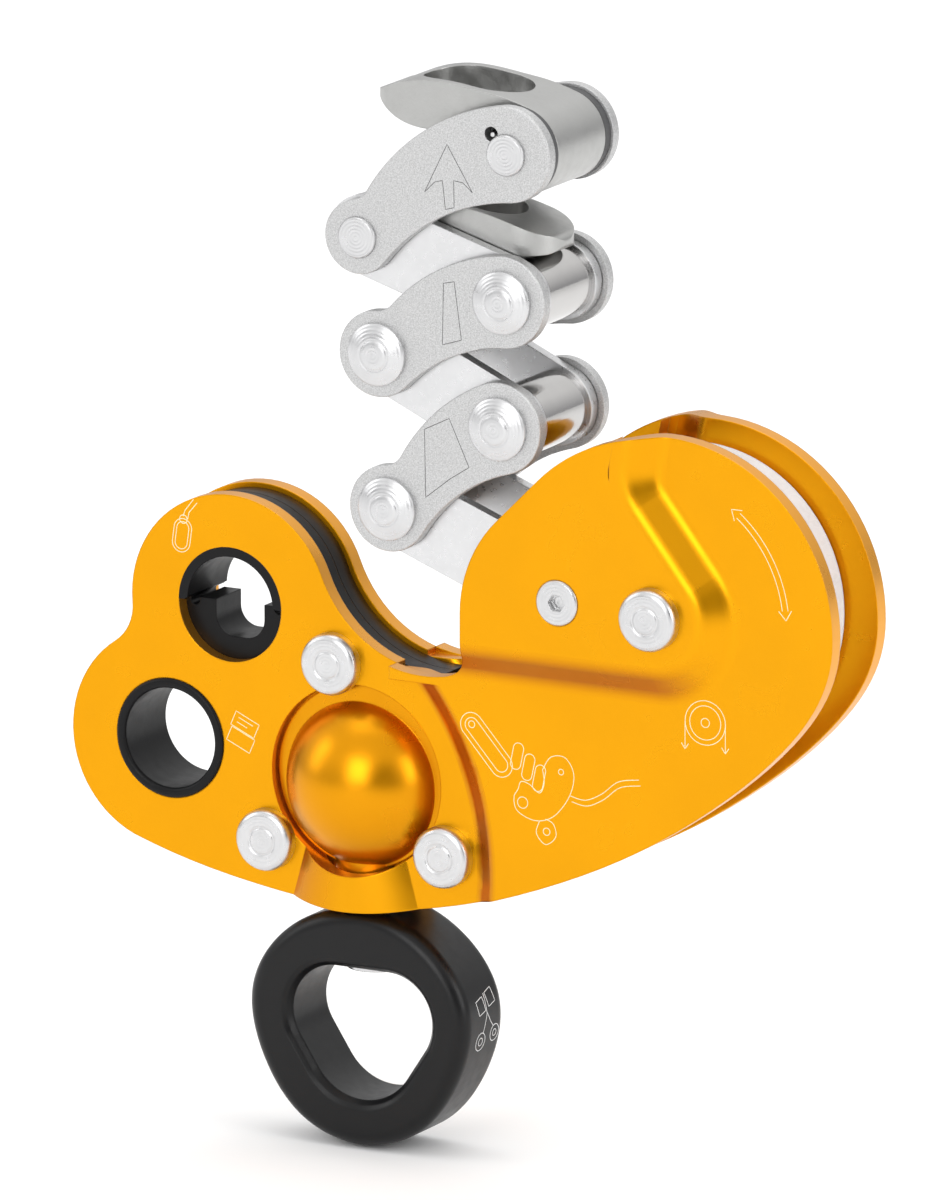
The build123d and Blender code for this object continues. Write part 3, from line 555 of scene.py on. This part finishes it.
# name, azimuth and elevation in degrees, distance and size in metres, power in watts
LAMPS = (
    ("key", 4, 20, 1.6, (0.7, 0.9), 6.4),
    ("fill", 82, 18, 1.6, (0.7, 0.9), 6.0),
    ("left", -62, 22, 1.6, (0.5, 0.9), 2.5),
    ("top", 200, 78, 1.4, (1.4, 1.4), 6.5),
)
HORIZON = (0.42, 0.42, 0.43)         # the room's white at the horizon
FULL_WHITE_FROM = 0.45               # the height on the unit sphere where it reaches full white
DARK_PATCH = (42, 8)                 # azimuth and elevation of the middle of a dark patch
PATCH_DARKEST = 0.12
PATCH_EDGES = (0.86, 0.99)           # cosines of the angles where it starts and is darkest
VIEW_AZIMUTH = 28.7                  # degrees
VIEW_ELEVATION = 13.4
VIEW_HEIGHT = 208.2 * MM             # height of the picture at the object
DISTANCE = 3.0                       # metres
SENSOR = 36.0                        # millimetres
CLIP = (0.05, 60.0)                  # metres
SWIVEL_CENTRE = Vector((36.1 * MM, 0, -2.9 * MM))
SHIFT_RIGHT = 18.1 * MM              # from the swivel's centre to the middle of the picture
SHIFT_UP = 29.4 * MM


def way_to(azimuth, elevation):
    """A unit vector from the object; azimuth 0 is in front and 90 is to the right."""
    a = math.radians(azimuth)
    e = math.radians(elevation)
    return Vector((math.sin(a) * math.cos(e), -math.cos(a) * math.cos(e), math.sin(e)))


def lamp(name, azimuth, elevation, distance, size, power):
    """A soft rectangular light that looks at the middle of the object."""
    data = bpy.data.lights.new(name, "AREA")
    data.shape = "RECTANGLE"
    data.size = size[0]
    data.size_y = size[1]
    data.energy = power
    made = bpy.data.objects.new(name, data)
    bpy.context.scene.collection.objects.link(made)
    made.location = MIDDLE + way_to(azimuth, elevation) * distance
    made.rotation_euler = (MIDDLE - made.location).to_track_quat("-Z", "Y").to_euler()


def matt_white():
    """Matt white paper, very slightly mottled."""
    paint = Paint("floor_white", (0.95, 0.95, 0.95), 1.0)
    paint.tint((0.95, 0.95, 0.95), 0.004, scale=6.0)
    paint.shader.inputs["Specular IOR Level"].default_value = 0.0
    return paint.material


def floor():
    """A wide round sheet just under the object."""
    level = CAD_BOX[0].z - FLOOR_GAP
    rim = [(*at_angle(360 * i / FLOOR_CORNERS, FLOOR_RADIUS), level) for i in range(FLOOR_CORNERS)]
    mesh = bpy.data.meshes.new("floor")
    mesh.from_pydata(rim, [], [list(range(FLOOR_CORNERS))])
    made = bpy.data.objects.new("floor", mesh)
    bpy.context.scene.collection.objects.link(made)
    mesh.materials.append(matt_white())


def world():
    """White room, darker towards the horizon and dark in a soft patch to the front right."""
    made = bpy.data.worlds.new("studio")
    bpy.context.scene.world = made
    made.use_nodes = True
    tree = made.node_tree
    background = tree.nodes["Background"]
    coords = tree.nodes.new("ShaderNodeTexCoord")
    split = tree.nodes.new("ShaderNodeSeparateXYZ")
    tree.links.new(coords.outputs["Generated"], split.inputs[0])
    height = tree.nodes.new("ShaderNodeValToRGB")
    height.color_ramp.elements[0].position = 0.0
    height.color_ramp.elements[0].color = (*HORIZON, 1)
    height.color_ramp.elements[1].position = FULL_WHITE_FROM
    height.color_ramp.elements[1].color = (1, 1, 1, 1)
    tree.links.new(split.outputs["Z"], height.inputs[0])
    dot = tree.nodes.new("ShaderNodeVectorMath")
    dot.operation = "DOT_PRODUCT"
    tree.links.new(coords.outputs["Generated"], dot.inputs[0])
    dot.inputs[1].default_value = way_to(*DARK_PATCH)
    patch = tree.nodes.new("ShaderNodeValToRGB")
    patch.color_ramp.interpolation = "EASE"
    patch.color_ramp.elements[0].position = PATCH_EDGES[0]
    patch.color_ramp.elements[0].color = (1, 1, 1, 1)
    patch.color_ramp.elements[1].position = PATCH_EDGES[1]
    patch.color_ramp.elements[1].color = (PATCH_DARKEST, PATCH_DARKEST, PATCH_DARKEST, 1)
    tree.links.new(dot.outputs["Value"], patch.inputs[0])
    mix = tree.nodes.new("ShaderNodeMix")
    mix.data_type = "RGBA"
    mix.blend_type = "MULTIPLY"
    mix.inputs["Factor"].default_value = 1.0
    tree.links.new(height.outputs[0], mix.inputs["A"])
    tree.links.new(patch.outputs[0], mix.inputs["B"])
    tree.links.new(mix.outputs["Result"], background.inputs["Color"])
    background.inputs["Strength"].default_value = 1.0


def camera():
    """A long lens from the front right and a little above."""
    data = bpy.data.cameras.new("camera")
    made = bpy.data.objects.new("camera", data)
    bpy.context.scene.collection.objects.link(made)
    bpy.context.scene.camera = made
    data.sensor_width = SENSOR       # lies along the height, since the picture is upright
    data.lens = SENSOR * DISTANCE / VIEW_HEIGHT
    data.clip_start, data.clip_end = CLIP
    back = way_to(VIEW_AZIMUTH, VIEW_ELEVATION)
    turn_by = back.to_track_quat("Z", "Y")
    right = turn_by @ Vector((1, 0, 0))
    up = turn_by @ Vector((0, 1, 0))
    middle = SWIVEL_CENTRE + right * SHIFT_RIGHT + up * SHIFT_UP
    made.location = middle + back * DISTANCE
    made.rotation_euler = turn_by.to_euler()


floor()
world()
for settings in LAMPS:
    lamp(*settings)
camera()
bpy.context.scene.view_settings.view_transform = "Standard"
